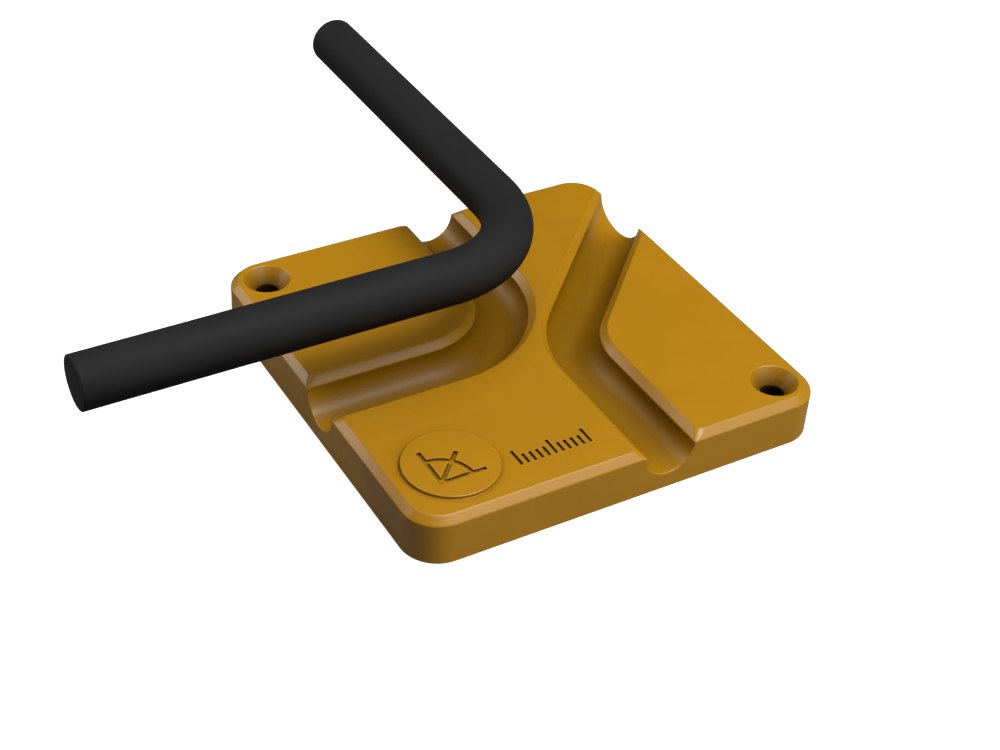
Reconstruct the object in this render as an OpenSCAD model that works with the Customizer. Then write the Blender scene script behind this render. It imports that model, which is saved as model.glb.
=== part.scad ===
// Bending block for pipe, with a bent pipe lifted straight off it.
// The block is a square plate. Two half-round grooves are cut into its top: one turns
// through a right angle, the other through half of one. A pipe is laid in a groove and
// bent round it. Lengths are in millimetres. +Z is up, the front face looks along -Y, and
// the origin is the middle of the block's underside.

/* [Block] */
// Length of the block from its left face to its right face
block_x = 120; // [116:1:140]
// Length of the block from its front face to its back face
block_y = 120; // [116:1:140]
// Height of the block, from its underside to its flat top
block_h = 14; // [12:0.5:20]
// Radius of the block's four upright corners
corner_r = 10; // [4:0.5:11]
// Width and height of the 45 degree bevel round the top edge
rim_bevel = 2; // [0.5:0.25:3]

/* [Pipe] */
// Outside diameter of the pipe
pipe_d = 14; // [10:0.5:15]
// Straight length of the pipe from its bend to its left end
left_leg = 99; // [60:1:140]
// Straight length of the pipe from its bend to its back end
back_leg = 100; // [60:1:140]
// Height of the pipe's axis above the place where the pipe lies in its groove
pipe_lift = 28; // [12:1:60]

/* [Grooves] */
// Gap between a pipe that lies in a groove and the groove's wall
groove_gap = 0.2; // [0.1:0.05:0.4]
// Extra gap in a bend, where a bent pipe is a little oval
bend_room = 0.05; // [0.04:0.01:0.2]
// Width and height of the 45 degree bevel along a groove's lips
lip_bevel = 2; // [0.5:0.25:3]
// How far a cut runs past the face that it opens, and a groove's leg into its bend
cut_over = 1; // [0.5:0.25:1]

/* [Right angle groove] */
// Y of the leg that comes in through the left face
square_y = -4.5; // [-8:0.5:0]
// X of the leg that goes out through the back face
square_x = 6; // [0:0.5:8]
// Bend radius of the groove and of the pipe, at the pipe's axis
square_bend_r = 29; // [24:0.5:36]

/* [Half angle groove] */
// X of the leg that comes in through the front face
half_x = 11; // [8:0.5:16]
// Y at which the slanting leg's centre line goes out through the right face
half_exit_y = 40; // [34:0.5:42]
// Bend radius at the axis of a pipe in the groove
half_bend_r = 29; // [24:0.5:34]
// Angle in degrees through which the groove turns
half_turn = 45; // [40:1:50]

/* [Screw holes] */
// Distance from a hole's axis to each of the two side faces nearest to it
hole_inset = 10; // [9:0.5:14]
// Diameter of the straight part of a hole
hole_d = 6.2; // [4:0.1:7]
// Diameter of the countersink at the block's flat top
sink_d = 13; // [9:0.5:15]
// Depth of the countersink below the flat top
sink_h = 4.2; // [2:0.1:6]

/* [Raised disc] */
// Distance from the disc's axis to the left face and to the front face
disc_inset = 17.5; // [15:0.5:22]
// Diameter of the disc
disc_d = 25; // [18:0.5:26]
// Height of the disc above the block's flat top
disc_rise = 1; // [0.8:0.1:2]

/* [Angle mark] */
// Length of the mark's three straight strokes
mark_len = 13; // [8:0.5:14]
// Radius of the mark's arc, at the middle of its stroke
mark_arc_r = 8.5; // [5:0.5:11]
// Width of the mark's strokes
mark_w = 1.2; // [0.6:0.1:1.6]
// Distance from the mark's corner to the disc's axis, along X and along Y
mark_shift = 5.5; // [3:0.5:6]

/* [Scale] */
// Distance from the left face to the middle of the scale's first line
scale_from_left = 33.5; // [31.5:0.5:38]
// Distance from the front face to the foot of the scale's lines
scale_from_front = 10.2; // [6:0.2:20]
// Distance from one line to the next
line_pitch = 2; // [1.6:0.1:2.4]
// Number of spaces between lines from one long line to the next
lines_apart = 5; // [2:1:5]
// Number of long lines after the first one
long_lines = 2; // [1:1:2]
// Length of a long line
long_line = 5.6; // [4:0.2:8]
// Length of a short line
short_line = 3.6; // [2:0.2:4]
// Width of a line
line_w = 0.8; // [0.4:0.1:1]
// Depth of the scale's lines and of the mark's strokes
engraved = 0.6; // [0.3:0.1:1]

/* [Hidden] */
$fn = 96;

right_angle = 90;
pipe_r = pipe_d / 2;
groove_r = pipe_r + groove_gap;
seat_z = block_h - lip_bevel;
left_x = -block_x / 2;
front_y = -block_y / 2;
right_x = block_x / 2;
back_y = block_y / 2;

// Middle that the right angle bend turns about
square_mid_x = square_x - square_bend_r;
square_mid_y = square_y + square_bend_r;

// Middle that the half angle bend turns about. The slanting leg starts at the bend's end
// and meets the right face at half_exit_y.
half_mid_x = half_x + half_bend_r;
half_end_x = half_mid_x - half_bend_r * cos(half_turn);
half_end_y = half_exit_y - (right_x - half_end_x) / tan(half_turn);
half_mid_y = half_end_y - half_bend_r * sin(half_turn);
half_lip_reach = (groove_r + lip_bevel + cut_over) / tan(half_turn);
half_exit_run = (right_x - half_end_x) / sin(half_turn) + half_lip_reach;

// One slab of the plate: its full height, bevelled along the top of two opposite sides.
// It is as long as the other pair of sides is between their corner roundings.
module slab(width, length) {
    rotate([right_angle, 0, right_angle])
        linear_extrude(height = length - 2 * corner_r, center = true)
            polygon([
                [-width / 2, 0],
                [width / 2, 0],
                [width / 2, block_h - rim_bevel],
                [width / 2 - rim_bevel, block_h],
                [rim_bevel - width / 2, block_h],
                [-width / 2, block_h - rim_bevel]
            ]);
}

// One rounded corner: an upright post with a bevelled top
module corner_post() {
    cylinder(h = block_h - rim_bevel, r = corner_r);
    translate([0, 0, block_h - rim_bevel])
        cylinder(h = rim_bevel, r1 = corner_r, r2 = corner_r - rim_bevel);
}

module plate() {
    slab(block_y, block_x);
    rotate([0, 0, right_angle])
        slab(block_x, block_y);
    for (side_x = [-1, 1], side_y = [-1, 1])
        translate([side_x * (right_x - corner_r), side_y * (back_y - corner_r), 0])
            corner_post();
}

// Section of a groove round the pipe's axis: the bore, and the opening that widens
// through the bevelled lips
module groove_section(bore_r) {
    lip_reach = bore_r + lip_bevel + cut_over;
    circle(r = bore_r);
    polygon([
        [-bore_r, 0],
        [bore_r, 0],
        [lip_reach, lip_bevel + cut_over],
        [-lip_reach, lip_bevel + cut_over]
    ]);
}

// Straight groove along +Y, from a little before the origin
module groove_leg(run) {
    translate([0, -cut_over, 0])
        rotate([right_angle, 0, 2 * right_angle])
            linear_extrude(height = run + cut_over)
                groove_section(groove_r);
}

// Groove with one bend round the origin. It comes up along +Y on the +X side, turns
// towards -X by the given angle and goes on straight.
module bent_groove(bend_r, turn, run_in, run_out) {
    translate([bend_r, 0, 0])
        mirror([0, 1, 0])
            groove_leg(run_in);
    rotate_extrude(angle = turn)
        translate([bend_r, 0])
            groove_section(groove_r + bend_room);
    rotate([0, 0, turn])
        translate([bend_r, 0, 0])
            groove_leg(run_out);
}

module square_groove() {
    translate([square_mid_x, square_mid_y, seat_z])
        rotate([0, 0, -right_angle])
            bent_groove(
                square_bend_r,
                right_angle,
                square_mid_x - left_x + cut_over,
                back_y - square_mid_y + cut_over
            );
}

module half_groove() {
    translate([half_mid_x, half_mid_y, seat_z])
        mirror([1, 0, 0])
            bent_groove(
                half_bend_r,
                half_turn,
                half_mid_y - front_y + cut_over,
                half_exit_run
            );
}

// Through hole with a countersink whose cone goes on past the flat top
module screw_hole() {
    hole_r = hole_d / 2;
    sink_r = sink_d / 2;
    cone_over = cut_over * (sink_r - hole_r) / sink_h;
    translate([0, 0, -cut_over])
        cylinder(h = block_h + 2 * cut_over, r = hole_r);
    translate([0, 0, block_h - sink_h])
        cylinder(h = sink_h + cut_over, r1 = hole_r, r2 = sink_r + cone_over);
}

// One hole near the back left corner and one near the front right corner
module screw_holes() {
    for (side = [-1, 1])
        translate([side * (right_x - hole_inset), side * (hole_inset - back_y), 0])
            screw_hole();
}

module raised_disc() {
    translate([left_x + disc_inset, front_y + disc_inset, block_h - rim_bevel])
        cylinder(h = rim_bevel + disc_rise, d = disc_d);
}

// Engraved sign for the bends that the block makes: two square legs, the stroke between
// them, and an arc across all three
module angle_mark() {
    corner_x = left_x + disc_inset - mark_shift;
    corner_y = front_y + disc_inset - mark_shift;
    translate([corner_x, corner_y, block_h + disc_rise - engraved]) {
        for (turn = [0, half_turn, right_angle])
            rotate([0, 0, turn])
                translate([-mark_w / 2, -mark_w / 2, 0])
                    cube([mark_len, mark_w, engraved + cut_over]);
        rotate_extrude(angle = right_angle)
            translate([mark_arc_r - mark_w / 2, 0])
                square([mark_w, engraved + cut_over]);
    }
}

// Engraved row of plain lines, a longer one after every few short ones
module scale_lines() {
    for (i = [0 : lines_apart * long_lines])
        translate([
            left_x + scale_from_left + i * line_pitch - line_w / 2,
            front_y + scale_from_front,
            block_h - engraved
        ])
            cube([line_w, i % lines_apart == 0 ? long_line : short_line, engraved + cut_over]);
}

module block() {
    color([0.71, 0.50, 0.09])
        difference() {
            union() {
                plate();
                raised_disc();
            }
            square_groove();
            half_groove();
            screw_holes();
            angle_mark();
            scale_lines();
        }
}

// Round pipe bent once through a right angle, straight above its groove
module pipe() {
    color([0.10, 0.10, 0.10])
        translate([square_mid_x, square_mid_y, seat_z + pipe_lift]) {
            translate([-left_leg, -square_bend_r, 0])
                rotate([0, right_angle, 0])
                    cylinder(h = left_leg, r = pipe_r);
            rotate([0, 0, -right_angle])
                rotate_extrude(angle = right_angle)
                    translate([square_bend_r, 0])
                        circle(r = pipe_r);
            translate([square_bend_r, 0, 0])
                rotate([-right_angle, 0, 0])
                    cylinder(h = back_leg, r = pipe_r);
        }
}

block();
pipe();
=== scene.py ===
"""Looks of the bending block and of the bent pipe that is held above it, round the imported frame.
Lengths are in metres. +Z is up out of the grooved face, and the front face looks along -Y."""

import math

import bmesh
import bpy
from mathutils import Matrix, Quaternion, Vector


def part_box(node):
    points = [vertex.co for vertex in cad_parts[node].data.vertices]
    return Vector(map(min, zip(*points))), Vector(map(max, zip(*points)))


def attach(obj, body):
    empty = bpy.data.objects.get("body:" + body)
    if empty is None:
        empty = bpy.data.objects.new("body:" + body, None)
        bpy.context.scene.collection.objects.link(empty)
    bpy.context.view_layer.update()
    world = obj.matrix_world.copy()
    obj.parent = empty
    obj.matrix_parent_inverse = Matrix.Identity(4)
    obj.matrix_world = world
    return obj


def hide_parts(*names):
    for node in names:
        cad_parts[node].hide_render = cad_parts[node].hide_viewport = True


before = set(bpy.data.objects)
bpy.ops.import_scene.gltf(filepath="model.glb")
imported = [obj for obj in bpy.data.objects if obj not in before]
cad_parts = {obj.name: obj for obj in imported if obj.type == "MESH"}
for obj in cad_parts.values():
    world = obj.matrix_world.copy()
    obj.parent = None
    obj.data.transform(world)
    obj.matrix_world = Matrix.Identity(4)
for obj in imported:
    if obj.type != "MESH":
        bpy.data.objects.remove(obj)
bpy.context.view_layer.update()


# Camera. It stands in front of the block and to its left, above it, a little tilted.
# Its place, its turns and its lens were fitted to the block's edges in the photograph.
camera_place = Vector((-0.213317, -0.336927, 0.303573))
camera_azimuth = math.radians(31.9138)
camera_below_level = math.radians(37.4744)
camera_roll = math.radians(3.5833)
camera_focal_length_in_pixels = 1829.007
picture_width_in_pixels = 1000
sensor_width = 36.0
nearest_seen = 0.01
farthest_seen = 20.0

look = Vector((
    math.sin(camera_azimuth) * math.cos(camera_below_level),
    math.cos(camera_azimuth) * math.cos(camera_below_level),
    -math.sin(camera_below_level),
))
camera_data = bpy.data.cameras.new("camera")
camera_data.sensor_width = sensor_width
camera_data.lens = camera_focal_length_in_pixels * sensor_width / picture_width_in_pixels
camera_data.clip_start = nearest_seen
camera_data.clip_end = farthest_seen
camera = bpy.data.objects.new("camera", camera_data)
camera.location = camera_place
camera.rotation_mode = "QUATERNION"
camera.rotation_quaternion = look.to_track_quat("-Z", "Y") @ Quaternion((0, 0, 1), camera_roll)
bpy.context.scene.collection.objects.link(camera)
bpy.context.scene.camera = camera


# Bent pipe: black plastic pipe, drawn as one closed length with flat ends. It was bent once,
# through a right angle, and it is held straight above the groove that it was bent in.
pipe_radius = 0.007
pipe_bend_radius = 0.029
pipe_left_leg = 0.099
pipe_back_leg = 0.100
pipe_end_rounding = 0.0004
end_rounding_steps = 4
pipe_sides = 84
bend_steps = 36
right_angle = math.radians(90)


def pushed_on(shape, edges, way):
    """Carries a loop of edges straight on and gives the new loop."""
    made = bmesh.ops.extrude_edge_only(shape, edges=edges)["geom"]
    bmesh.ops.translate(shape, verts=[v for v in made if isinstance(v, bmesh.types.BMVert)], vec=way)
    return [e for e in made if isinstance(e, bmesh.types.BMEdge)]


def swept_through_bend(shape, section, run_in, bend_radius, turn, run_out, steps):
    """Carries a section along +Y, round a bend towards -X and straight on, and closes both ends."""
    edges = pushed_on(shape, section, Vector((0, run_in, 0)))
    corners = list(dict.fromkeys(v for e in edges for v in e.verts))
    bend = bmesh.ops.spin(
        shape, geom=corners + edges, cent=(-bend_radius, run_in, 0), axis=(0, 0, 1),
        dvec=(0, 0, 0), angle=turn, steps=steps,
    )
    edges = [e for e in bend["geom_last"] if isinstance(e, bmesh.types.BMEdge)]
    pushed_on(shape, edges, Vector((-math.sin(turn), math.cos(turn), 0)) * run_out)
    ends = bmesh.ops.holes_fill(shape, edges=shape.edges)["faces"]
    bmesh.ops.recalc_face_normals(shape, faces=shape.faces)
    return ends


def placed_object(name, shape):
    """Turns a finished bmesh into a smooth-shaded object at the origin."""
    mesh = bpy.data.meshes.new(name)
    for face in shape.faces:
        face.smooth = True
    shape.to_mesh(mesh)
    shape.free()
    made = bpy.data.objects.new(name, mesh)
    bpy.context.scene.collection.objects.link(made)
    return made


pipe_low, pipe_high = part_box("pipe")
pipe_start = Vector((pipe_low.x, pipe_low.y + pipe_radius, (pipe_low.z + pipe_high.z) / 2))

shape = bmesh.new()
ring = bmesh.ops.create_circle(shape, segments=pipe_sides, radius=pipe_radius)["verts"]
bmesh.ops.rotate(shape, verts=ring, matrix=Matrix.Rotation(math.pi / pipe_sides, 3, "Z"))
bmesh.ops.rotate(shape, verts=ring, matrix=Matrix.Rotation(right_angle, 3, "X"))
ends = swept_through_bend(
    shape, list(shape.edges), pipe_left_leg, pipe_bend_radius, right_angle, pipe_back_leg, bend_steps
)
end_rims = list(dict.fromkeys(e for f in ends for e in f.edges))
bmesh.ops.bevel(
    shape, geom=end_rims, offset=pipe_end_rounding, offset_type="OFFSET",
    segments=end_rounding_steps, profile=0.5, affect="EDGES", material=-1,
)


def place_before_bending(point):
    """Where a point of the bent pipe was when the pipe was still straight and lay along Y."""
    past_start = point.y - pipe_left_leg
    if past_start <= 0:
        return point
    turned = math.atan2(past_start, point.x + pipe_bend_radius)
    if turned <= right_angle:
        off_axis = math.hypot(past_start, point.x + pipe_bend_radius) - pipe_bend_radius
        return Vector((off_axis, pipe_left_leg + pipe_bend_radius * turned, point.z))
    along = pipe_left_leg + pipe_bend_radius * right_angle - pipe_bend_radius - point.x
    return Vector((past_start - pipe_bend_radius, along, point.z))


along_pipe = shape.verts.layers.float_vector.new("along_pipe")
for vertex in shape.verts:
    vertex[along_pipe] = place_before_bending(vertex.co)
bmesh.ops.rotate(shape, verts=shape.verts, matrix=Matrix.Rotation(-right_angle, 3, "Z"))
bmesh.ops.translate(shape, verts=shape.verts, vec=pipe_start)
bent_pipe = placed_object("bent_pipe", shape)


def feed(tree, socket, value):
    """Gives a socket its value, or links it where the value is another node's output."""
    if isinstance(value, bpy.types.NodeSocket):
        tree.links.new(value, socket)
    else:
        socket.default_value = value


def wired(tree, kind, settings, **inputs):
    """Adds a shader node with its settings and with inputs that are told apart by name."""
    node = tree.nodes.new(kind)
    for name, value in settings.items():
        setattr(node, name, value)
    for name, value in inputs.items():
        feed(tree, next(s for s in node.inputs if s.enabled and s.name.replace(" ", "_") == name), value)
    return node


def computed(tree, operation, *values):
    """Adds a math node that works on the values in their order."""
    node = wired(tree, "ShaderNodeMath", {"operation": operation})
    for socket, value in zip(node.inputs, values):
        feed(tree, socket, value)
    return node.outputs["Value"]


def noise(tree, place, scale, detail):
    """Adds a cloud-like pattern between 0 and 1."""
    return wired(tree, "ShaderNodeTexNoise", {}, Vector=place, Scale=scale, Detail=detail).outputs["Fac"]


def ranged(tree, value, from_range, to_range):
    """Turns a value in one range into one in the other range, and stops at that range's ends."""
    return wired(
        tree, "ShaderNodeMapRange", {}, Value=value, From_Min=from_range[0], From_Max=from_range[1],
        To_Min=to_range[0], To_Max=to_range[1],
    ).outputs["Result"]


def openness(tree, reach, samples, **settings):
    """Gives 1 on an open face and less where something else stands within reach."""
    return wired(
        tree, "ShaderNodeAmbientOcclusion", {"samples": samples, **settings}, Distance=reach
    ).outputs["AO"]


def darkened(tree, colour, shade, share=1.0):
    """Multiplies a colour by a shade, or by a share of that shade."""
    settings = {"data_type": "RGBA", "blend_type": "MULTIPLY"}
    return wired(tree, "ShaderNodeMix", settings, Factor=share, A=colour, B=shade).outputs["Result"]


def bumped(tree, height, depth, strength, **under):
    """Turns a pattern into bumps of the given depth, on top of other bumps if there are any."""
    return wired(
        tree, "ShaderNodeBump", {}, Strength=strength, Distance=depth, Height=height, **under
    ).outputs["Normal"]


def graded(tree, fac, stops):
    """Adds a colour ramp with the given stops of position and grey level or colour."""
    ramp = tree.nodes.new("ShaderNodeValToRGB")
    while len(ramp.color_ramp.elements) < len(stops):
        ramp.color_ramp.elements.new(position=0.5)
    for element, (position, tone) in zip(ramp.color_ramp.elements, stops):
        element.position = position
        element.color = (*tone, 1) if isinstance(tone, tuple) else (tone, tone, tone, 1)
    tree.links.new(fac, ramp.inputs["Fac"])
    return ramp.outputs["Color"]


# The black plastic was drawn through a die: it has faint lines along its length that follow the
# bend, an even fine grain, and cloudy patches where it is a little paler and more matt. Its colour
# and its reflection carry painted shade, darker wherever it is turned to the block or the bench.
deep_black = (0.0155, 0.0155, 0.0160)
pale_black = (0.0190, 0.0190, 0.0190)
cloud_range = (0.3, 0.7)
pipe_roughness = (0.66, 0.74)
pipe_mirror_level = 0.16
die_line_stretch = (900, 14, 900)
die_line_depth = 0.00004
grain_depth = 0.00003
pipe_bump_strength = 0.25
# Reach and stops of the painted shade on the pipe's side towards the block and the bench.
underside_reach = 0.12
underside_shade = [(0.35, 0.05), (0.55, 0.38), (0.80, 1.0)]

pipe_plastic = bpy.data.materials.new("black_plastic")
pipe_plastic.use_nodes = True
tree = pipe_plastic.node_tree
shader = tree.nodes["Principled BSDF"]
straight = wired(tree, "ShaderNodeAttribute", {"attribute_name": "along_pipe"}).outputs["Vector"]
lengthwise = wired(tree, "ShaderNodeMapping", {}, Vector=straight, Scale=die_line_stretch).outputs["Vector"]
clouds = noise(tree, straight, scale=55.0, detail=3.0)
black = graded(tree, clouds, [(cloud_range[0], deep_black), (cloud_range[1], pale_black)])
# Painted shade: the pipe's colour and reflection are darker where the block or the bench stands near.
painted_underside_shade = graded(tree, openness(tree, underside_reach, samples=12), underside_shade)
tree.links.new(darkened(tree, black, painted_underside_shade), shader.inputs["Base Color"])
tree.links.new(painted_underside_shade, shader.inputs["Specular Tint"])
tree.links.new(ranged(tree, clouds, cloud_range, pipe_roughness), shader.inputs["Roughness"])
die_lines = noise(tree, lengthwise, scale=1.0, detail=3.0)
lines_bump = bumped(tree, die_lines, die_line_depth, pipe_bump_strength)
grain = noise(tree, straight, scale=2600.0, detail=2.0)
grain_bump = bumped(tree, grain, grain_depth, pipe_bump_strength, Normal=lines_bump)
tree.links.new(grain_bump, shader.inputs["Normal"])
shader.inputs["Specular IOR Level"].default_value = pipe_mirror_level
bent_pipe.data.materials.append(pipe_plastic)
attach(bent_pipe, "pipe")
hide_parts("pipe")


# Bending block: a square plate of amber plastic, milled or moulded in one piece. Two half-round
# grooves for the pipe cross its top, two countersunk holes take the screws that hold it down,
# and a low raised disc near the front left corner carries an engraved sign of the two angles.
plate_height = 0.014
corner_radius = 0.010
rim_bevel = 0.002
groove_radius = 0.0072
lip_bevel = 0.002
past_face = 0.001
square_leg_y = -0.0045
square_leg_x = 0.006
half_leg_x = 0.011
half_exit_y = 0.040
half_turn = math.radians(45)
groove_bend_radius = 0.029
hole_inset = 0.010
hole_radius = 0.0031
countersink_radius = 0.0065
countersink_depth = 0.0042
disc_inset = 0.0175
disc_radius = 0.0125
disc_rise = 0.001
arc_steps = 24
round_sides = 96
welding_distance = 0.000002

block_low, block_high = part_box("block")
groove_axis_z = plate_height - lip_bevel
right_x = block_high.x
back_y = block_high.y


def carved(solid, tool, operation="DIFFERENCE"):
    """Cuts a tool out of a solid, or joins the two, and takes the tool away."""
    step = solid.modifiers.new("carve", "BOOLEAN")
    step.object = tool
    step.operation = operation
    step.solver = "EXACT"
    graph = bpy.context.evaluated_depsgraph_get()
    solid_mesh = bpy.data.meshes.new_from_object(solid.evaluated_get(graph))
    solid.modifiers.clear()
    solid.data = solid_mesh
    bpy.data.objects.remove(tool)


def groove_tool(start, travel, mirrored, run_in, turn, run_out):
    """What one groove takes out: a half round with 45 degree lips, swept along the pipe's axis."""
    shape = bmesh.new()
    flare = lip_bevel + past_face
    first = shape.verts.new((-groove_radius, 0, 0))
    bmesh.ops.spin(
        shape, geom=[first], cent=(0, 0, 0), axis=(0, 1, 0), dvec=(0, 0, 0), angle=-math.pi, steps=arc_steps
    )
    shape.verts.ensure_lookup_table()
    last = shape.verts[-1]
    left_lip = shape.verts.new((-groove_radius - flare, 0, flare))
    right_lip = shape.verts.new((groove_radius + flare, 0, flare))
    for a, b in ((first, left_lip), (left_lip, right_lip), (right_lip, last)):
        shape.edges.new((a, b))
    swept_through_bend(shape, list(shape.edges), run_in, groove_bend_radius, turn, run_out, bend_steps)
    if mirrored:
        bmesh.ops.scale(shape, verts=shape.verts, vec=(-1, 1, 1))
    bmesh.ops.rotate(shape, verts=shape.verts, matrix=Matrix.Rotation(travel, 3, "Z"))
    bmesh.ops.translate(shape, verts=shape.verts, vec=start)
    bmesh.ops.recalc_face_normals(shape, faces=shape.faces)
    return placed_object("groove_tool", shape)


def hole_tool(x, y):
    """What a countersunk screw hole takes out, as one turned shape."""
    widening = (countersink_radius - hole_radius) / countersink_depth
    outline = [
        (0, -past_face),
        (hole_radius, -past_face),
        (hole_radius, plate_height - countersink_depth),
        (countersink_radius + widening * past_face, plate_height + past_face),
        (0, plate_height + past_face),
    ]
    shape = bmesh.new()
    corners = [shape.verts.new((x + r, y, z)) for r, z in outline]
    for a, b in zip(corners, corners[1:]):
        shape.edges.new((a, b))
    bmesh.ops.spin(
        shape, geom=list(shape.verts) + list(shape.edges), cent=(x, y, 0), axis=(0, 0, 1),
        dvec=(0, 0, 0), angle=2 * math.pi, steps=round_sides // 2, use_merge=True,
    )
    bmesh.ops.remove_doubles(shape, verts=shape.verts, dist=welding_distance)
    bmesh.ops.recalc_face_normals(shape, faces=shape.faces)
    return placed_object("hole_tool", shape)


def box_tool(shape, length, width, low, high, place):
    """Adds a closed box to a tool: it starts at the place and runs along its own turned X."""
    made = bmesh.ops.create_cube(shape, size=1)["verts"]
    bmesh.ops.scale(shape, verts=made, vec=(length, width, high - low))
    middle = Matrix.Translation((length / 2 - width / 2, 0, (low + high) / 2))
    bmesh.ops.transform(shape, verts=made, matrix=place @ middle)


shape = bmesh.new()
bmesh.ops.create_cube(shape, size=1)
bmesh.ops.scale(
    shape, verts=shape.verts, vec=(block_high.x - block_low.x, block_high.y - block_low.y, plate_height)
)
bmesh.ops.translate(shape, verts=shape.verts, vec=(0, 0, plate_height / 2))
upright = [e for e in shape.edges if abs(e.verts[0].co.z - e.verts[1].co.z) > plate_height / 2]
bmesh.ops.bevel(
    shape, geom=upright, offset=corner_radius, offset_type="OFFSET", segments=arc_steps,
    profile=0.5, affect="EDGES", material=-1,
)
rim = [e for e in shape.edges if min(v.co.z for v in e.verts) > plate_height - rim_bevel / 2]
bmesh.ops.bevel(
    shape, geom=rim, offset=rim_bevel, offset_type="OFFSET", segments=1, profile=0.5,
    affect="EDGES", material=-1,
)
bmesh.ops.recalc_face_normals(shape, faces=shape.faces)
bending_block = placed_object("bending_block", shape)

shape = bmesh.new()
bmesh.ops.create_cone(
    shape, cap_ends=True, segments=round_sides, radius1=disc_radius, radius2=disc_radius,
    depth=rim_bevel + disc_rise,
)
disc_middle = Vector((block_low.x + disc_inset, block_low.y + disc_inset, 0))
bmesh.ops.translate(
    shape, verts=shape.verts, vec=disc_middle + Vector((0, 0, plate_height + (disc_rise - rim_bevel) / 2))
)
carved(bending_block, placed_object("disc_blank", shape), "UNION")

square_middle_x = square_leg_x - groove_bend_radius
square_middle_y = square_leg_y + groove_bend_radius
carved(bending_block, groove_tool(
    Vector((block_low.x - past_face, square_leg_y, groove_axis_z)), -right_angle, False,
    square_middle_x - block_low.x + past_face, right_angle, back_y - square_middle_y + past_face,
))
half_end_x = half_leg_x + groove_bend_radius * (1 - math.cos(half_turn))
half_end_y = half_exit_y - (right_x - half_end_x) / math.tan(half_turn)
half_middle_y = half_end_y - groove_bend_radius * math.sin(half_turn)
carved(bending_block, groove_tool(
    Vector((half_leg_x, block_low.y - past_face, groove_axis_z)), 0, True,
    half_middle_y - block_low.y + past_face, half_turn,
    (right_x - half_end_x) / math.sin(half_turn)
    + (groove_radius + lip_bevel + past_face) / math.tan(half_turn),
))
for side in (-1, 1):
    carved(bending_block, hole_tool(side * (right_x - hole_inset), side * (hole_inset - back_y)))

# The sign on the disc: two square legs, the stroke between them and an arc across all three.
mark_length = 0.013
mark_width = 0.0012
mark_arc_radius = 0.0085
mark_shift = 0.0055
engraving_depth = 0.0006
mark_floor = plate_height + disc_rise - engraving_depth
mark_top = plate_height + disc_rise + past_face
mark_corner = Matrix.Translation(disc_middle - Vector((mark_shift, mark_shift, 0)))
for turn in (0, half_turn, right_angle):
    shape = bmesh.new()
    stroke_place = mark_corner @ Matrix.Rotation(turn, 4, "Z")
    box_tool(shape, mark_length, mark_width, mark_floor, mark_top, stroke_place)
    carved(bending_block, placed_object("mark_stroke_tool", shape))
shape = bmesh.new()
section = [
    shape.verts.new((mark_arc_radius + side * mark_width / 2, 0, z))
    for side, z in ((-1, mark_floor), (1, mark_floor), (1, mark_top), (-1, mark_top))
]
for a, b in zip(section, section[1:] + section[:1]):
    shape.edges.new((a, b))
bmesh.ops.spin(
    shape, geom=list(shape.verts) + list(shape.edges), cent=(0, 0, 0), axis=(0, 0, 1),
    dvec=(0, 0, 0), angle=right_angle, steps=arc_steps,
)
bmesh.ops.holes_fill(shape, edges=shape.edges)
bmesh.ops.recalc_face_normals(shape, faces=shape.faces)
bmesh.ops.transform(shape, verts=shape.verts, matrix=mark_corner)
carved(bending_block, placed_object("mark_arc_tool", shape))

# The scale beside the disc: plain engraved lines, a longer one after every few short ones.
scale_from_left = 0.0335
scale_from_front = 0.0102
line_pitch = 0.002
lines_apart = 5
line_count = 11
long_line = 0.0056
short_line = 0.0036
line_width = 0.0008
shape = bmesh.new()
for i in range(line_count):
    line_length = short_line if i % lines_apart else long_line
    foot_x = block_low.x + scale_from_left + i * line_pitch
    foot_y = block_low.y + scale_from_front + line_width / 2
    box_tool(
        shape, line_length, line_width, plate_height - engraving_depth, plate_height + past_face,
        Matrix.Translation((foot_x, foot_y, 0)) @ Matrix.Rotation(right_angle, 4, "Z"),
    )
carved(bending_block, placed_object("scale_tool", shape))

# Every groove mouth has a soft corner: the rim's bevel and the lip's bevel run into each other
# round a small cone that stands on the sharp corner below them. A cut a little way into each
# bevel keeps that corner's soft shading out of the rest of the bevel.
mouth_rounding = 0.0016
mouth_steps = 6
least_mitre_angle = math.radians(15)
bevel_slope = math.radians(45)
soft_strip = 0.0006
long_bevel_area = 0.00001
bevel_tolerance = 0.02
foot_tolerance = 0.00001
shape = bmesh.new()
shape.from_mesh(bending_block.data)
bmesh.ops.remove_doubles(shape, verts=shape.verts, dist=welding_distance)


def is_mouth_mitre(edge):
    """True for the edge where a rim bevel meets a lip bevel."""
    low, high = sorted(v.co.z for v in edge.verts)
    if abs(low - groove_axis_z) > welding_distance or abs(high - plate_height) > welding_distance:
        return False
    return edge.calc_face_angle(0) > least_mitre_angle


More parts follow.
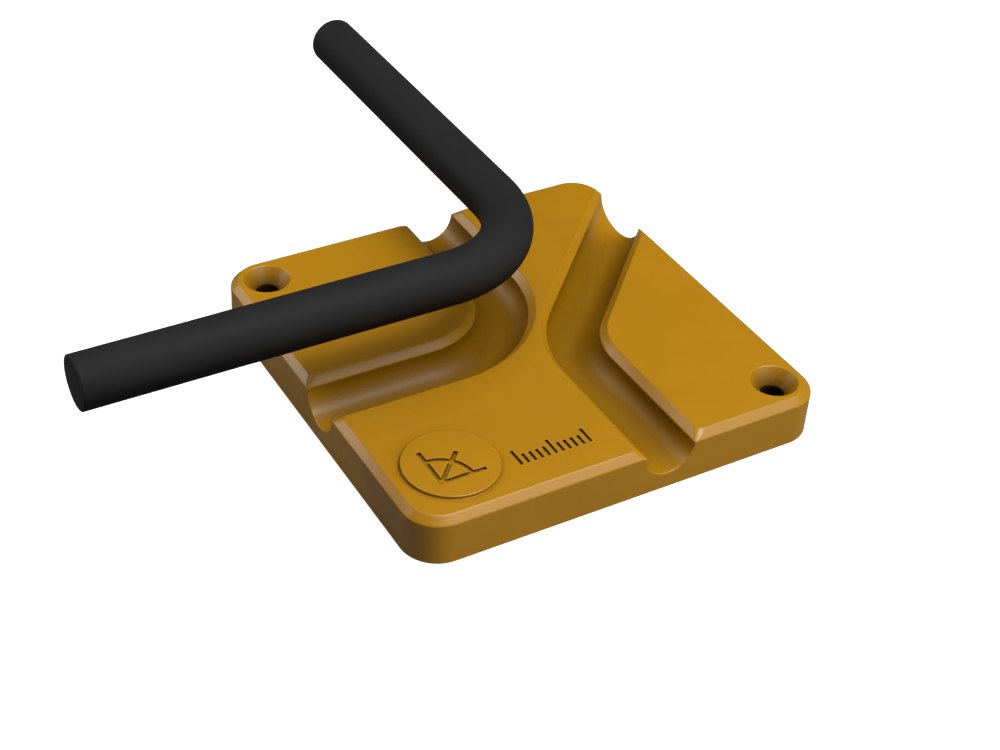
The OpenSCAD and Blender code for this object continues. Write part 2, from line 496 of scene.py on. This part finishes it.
mitres = [e for e in shape.edges if is_mouth_mitre(e)]
feet = [min((v.co.copy() for v in e.verts), key=lambda co: co.z) for e in mitres]
bmesh.ops.bevel(
    shape, geom=mitres, offset=mouth_rounding, offset_type="OFFSET", segments=mouth_steps,
    profile=0.5, affect="EDGES", material=-1,
)
for foot in feet:
    low = [
        v for v in shape.verts
        if abs(v.co.z - foot.z) < foot_tolerance and (v.co - foot).length < 2 * mouth_rounding
    ]
    bmesh.ops.pointmerge(shape, verts=low, merge_co=foot)
    corner = min(shape.verts, key=lambda v: (v.co - foot).length)
    for face in list(corner.link_faces):
        slanted = abs(face.normal.z - math.cos(bevel_slope)) <= bevel_tolerance
        if not slanted or face.calc_area() < long_bevel_area:
            continue
        side = max((e for e in face.edges if corner in e.verts), key=lambda e: e.other_vert(corner).co.z)
        away = face.normal.cross(side.other_vert(corner).co - corner.co).normalized()
        if away.dot(face.calc_center_median() - corner.co) < 0:
            away.negate()
        bmesh.ops.bisect_plane(
            shape, geom=[face] + list(face.edges) + list(face.verts),
            plane_co=corner.co + away * soft_strip, plane_no=away,
        )

# A tool or a mould leaves no edge quite sharp: the block's edges are rounded, and those of the
# engraved strokes are finer.
edge_rounding = 0.0003
edge_rounding_steps = 3
fine_edge_share = 0.35
sharp_from = math.radians(28)
flat_face_pull = 75
scale_low = Vector((
    block_low.x + scale_from_left - line_width,
    block_low.y + scale_from_front - line_width,
))
scale_high = scale_low + Vector((
    (line_count - 1) * line_pitch + 2 * line_width,
    long_line + 2 * line_width,
))


def in_engraving(point):
    """True inside the sign on the disc and inside the scale, where the edges are finer."""
    if (point - disc_middle).xy.length < disc_radius - edge_rounding:
        return point.z > plate_height
    in_scale = scale_low.x < point.x < scale_high.x and scale_low.y < point.y < scale_high.y
    return in_scale and point.z > plate_height / 2


weight = shape.edges.layers.float.new("bevel_weight_edge")
for edge in shape.edges:
    if edge.calc_face_angle(0) < sharp_from:
        continue
    middle = (edge.verts[0].co + edge.verts[1].co) / 2
    edge[weight] = fine_edge_share if in_engraving(middle) else 1.0
for face in shape.faces:
    face.smooth = True
shape.to_mesh(bending_block.data)
shape.free()

soften = bending_block.modifiers.new("soft_edges", "BEVEL")
soften.width = edge_rounding
soften.segments = edge_rounding_steps
soften.limit_method = "WEIGHT"
soften.use_clamp_overlap = False
flats_stay_flat = bending_block.modifiers.new("flats_stay_flat", "WEIGHTED_NORMAL")
flats_stay_flat.mode = "FACE_AREA"
flats_stay_flat.weight = flat_face_pull

# The amber plastic is smooth and satin. Its colour is a little cloudy, its grain is fine, and its
# sharp edges are rubbed a little paler and glossier. Grooves and engraved strokes get painted shade,
# a darker colour and a weaker reflection, and they are more matt; the top gets a painted shadow under the
# pipe.
deep_amber = (0.446, 0.206, 0.0010)
pale_amber = (0.470, 0.221, 0.0020)
rubbed_amber = (0.60, 0.33, 0.04, 1)
amber_mirror_level = 0.63
scuffed_roughness = (0.37, 0.42)
matt_in_hollows = (0.0, 0.1)
polish_of_rubbing = -0.2
scuff_turn = (0, 0, 0.5)
scuff_stretch = (40, 1100, 40)
amber_bump_strength = 0.2
hollow_reach = 0.016
# Stops of the painted shade in hollows, first for the colour and then for the reflection.
hollow_shade = [(0.38, 0.04), (0.52, 0.16), (0.62, 0.42), (0.70, 0.68), (0.82, 0.92), (0.93, 1.0)]
painted_hollow_gloss_shade = [(0.45, 0.1), (0.7, 0.4), (0.92, 1.0)]
# Reach and stops of the painted shadow under the pipe.
pipe_shade_reach = 0.045
pipe_shade = [(0.5, 0.48), (0.7, 0.66), (0.88, 1.0)]
rubbed_edge_reach = 0.0008

block_plastic = bpy.data.materials.new("amber_plastic")
block_plastic.use_nodes = True
tree = block_plastic.node_tree
shader = tree.nodes["Principled BSDF"]
place = wired(tree, "ShaderNodeTexCoord", {}).outputs["Object"]
clouds = noise(tree, place, scale=38.0, detail=3.0)
amber = graded(tree, clouds, [(cloud_range[0], deep_amber), (cloud_range[1], pale_amber)])

# The block's own hollows give one painted shade. What hangs over the block gives the other, a painted
# shadow, on faces that look up alone, so that the bench under the block doesn't count.
hollow = openness(tree, hollow_reach, samples=8, only_local=True)
covered = computed(tree, "DIVIDE", openness(tree, pipe_shade_reach, samples=12), hollow)
facing = wired(tree, "ShaderNodeNewGeometry", {}).outputs["Normal"]
upward = wired(tree, "ShaderNodeSeparateXYZ", {}, Vector=facing).outputs["Z"]
on_top = ranged(tree, upward, from_range=(0.4, 0.9), to_range=(0.0, 1.0))
painted_hollow_shade = graded(tree, hollow, hollow_shade)
painted_pipe_shadow = graded(tree, covered, pipe_shade)
shade = darkened(tree, painted_hollow_shade, painted_pipe_shadow, share=on_top)

edge = openness(tree, rubbed_edge_reach, samples=8, only_local=True, inside=True)
on_edge = ranged(tree, edge, from_range=(0.9, 0.55), to_range=(0.0, 0.45))
rubs = noise(tree, place, scale=260.0, detail=3.0)
in_rubs = ranged(tree, rubs, from_range=(0.4, 0.65), to_range=(0.15, 1.0))
worn = computed(tree, "MULTIPLY", on_edge, in_rubs)
# Painted shade and painted shadow darken the amber colour here.
shaded = darkened(tree, amber, shade)
rubbed = wired(
    tree, "ShaderNodeMix", {"data_type": "RGBA"}, Factor=worn, A=shaded, B=rubbed_amber
).outputs["Result"]
tree.links.new(rubbed, shader.inputs["Base Color"])

drawn_out = wired(
    tree, "ShaderNodeMapping", {}, Vector=place, Rotation=scuff_turn, Scale=scuff_stretch
).outputs["Vector"]
scuffs = noise(tree, drawn_out, scale=1.0, detail=4.0)
rough = ranged(tree, scuffs, from_range=(0.35, 0.7), to_range=scuffed_roughness)
matt = ranged(tree, hollow, from_range=(0.9, 0.5), to_range=matt_in_hollows)
roughness = computed(tree, "MULTIPLY_ADD", worn, polish_of_rubbing, computed(tree, "ADD", rough, matt))
tree.links.new(roughness, shader.inputs["Roughness"])
# Painted shade on the reflection: the specular tint dims it in hollows.
tree.links.new(graded(tree, hollow, painted_hollow_gloss_shade), shader.inputs["Specular Tint"])
shader.inputs["Specular IOR Level"].default_value = amber_mirror_level
grain = noise(tree, place, scale=2400.0, detail=2.0)
tree.links.new(bumped(tree, grain, grain_depth, amber_bump_strength), shader.inputs["Normal"])
bending_block.data.materials.clear()
bending_block.data.materials.append(block_plastic)
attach(bending_block, "block")
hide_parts("block")


# Floor: a plain pale table. It looks white to the camera and throws back less light than it
# seems to, so that the block's side faces stay as dark as they are in the photograph.
floor_half = 1.5
glossy_share = 0.1
tone_unseen = 0.08
tone_seen = 0.7
glow_seen = 0.8

floor_mesh = bpy.data.meshes.new("floor")
shape = bmesh.new()
bmesh.ops.create_grid(shape, x_segments=1, y_segments=1, size=floor_half)
shape.to_mesh(floor_mesh)
shape.free()
floor = bpy.data.objects.new("floor", floor_mesh)
bpy.context.scene.collection.objects.link(floor)

floor_paint = bpy.data.materials.new("pale_floor")
floor_paint.use_nodes = True
tree = floor_paint.node_tree
tree.nodes.clear()
seen = wired(tree, "ShaderNodeLightPath", {})
brightness = computed(
    tree, "MULTIPLY_ADD", seen.outputs["Is Glossy Ray"], glossy_share, seen.outputs["Is Camera Ray"]
)
tone = graded(tree, brightness, [(0.0, tone_unseen), (1.0, tone_seen)])
glow = graded(tree, brightness, [(0.0, 0.0), (1.0, glow_seen)])
paint = wired(tree, "ShaderNodeBsdfDiffuse", {}, Color=tone).outputs["BSDF"]
shine = wired(tree, "ShaderNodeEmission", {}, Color=glow, Strength=1.0).outputs["Emission"]
both = wired(tree, "ShaderNodeAddShader", {})
feed(tree, both.inputs[0], paint)
feed(tree, both.inputs[1], shine)
wired(tree, "ShaderNodeOutputMaterial", {}, Surface=both.outputs["Shader"])
floor_mesh.materials.append(floor_paint)


# Light: a dim grey room and five soft lamps, which all stand equally far off. The overhead lamp
# is the strongest, and its soft shadows show. The bevel lamp gives the bevels along the front
# their highlight, and the front right lamp fills the front faces without a reflection of its own.
lamp_distance = 2.4
room_grey = (0.03, 0.03, 0.03, 1)


def softbox(name, azimuth, elevation, width, height, power, mirrored=True):
    """A rectangular lamp that faces the block. Azimuth 0 is the front and 90 the right, in degrees."""
    turn = math.radians(azimuth)
    rise = math.radians(elevation)
    direction = Vector((math.sin(turn) * math.cos(rise), -math.cos(turn) * math.cos(rise), math.sin(rise)))
    data = bpy.data.lights.new(name, "AREA")
    data.shape = "RECTANGLE"
    data.size = width
    data.size_y = height
    data.energy = power
    lamp = bpy.data.objects.new(name, data)
    lamp.visible_glossy = mirrored
    lamp.location = direction * lamp_distance
    lamp.rotation_mode = "QUATERNION"
    lamp.rotation_quaternion = direction.to_track_quat("Z", "Y")
    bpy.context.scene.collection.objects.link(lamp)


softbox("overhead_lamp", azimuth=26, elevation=66, width=1.2, height=1.0, power=47.5)
softbox("ceiling_lamp", azimuth=180, elevation=80, width=1.2, height=1.2, power=6.0)
softbox("bevel_lamp", azimuth=35, elevation=43, width=0.9, height=0.9, power=4.6)
softbox("front_right_lamp", azimuth=36, elevation=18, width=1.2, height=2.1, power=22.8, mirrored=False)
softbox("back_left_lamp", azimuth=-134, elevation=28, width=1.2, height=1.0, power=18.6)

room = bpy.data.worlds.new("room")
room.use_nodes = True
backdrop = room.node_tree.nodes["Background"]
backdrop.inputs["Color"].default_value = room_grey
backdrop.inputs["Strength"].default_value = 1.0
bpy.context.scene.world = room

bpy.context.scene.view_settings.view_transform = "Standard"
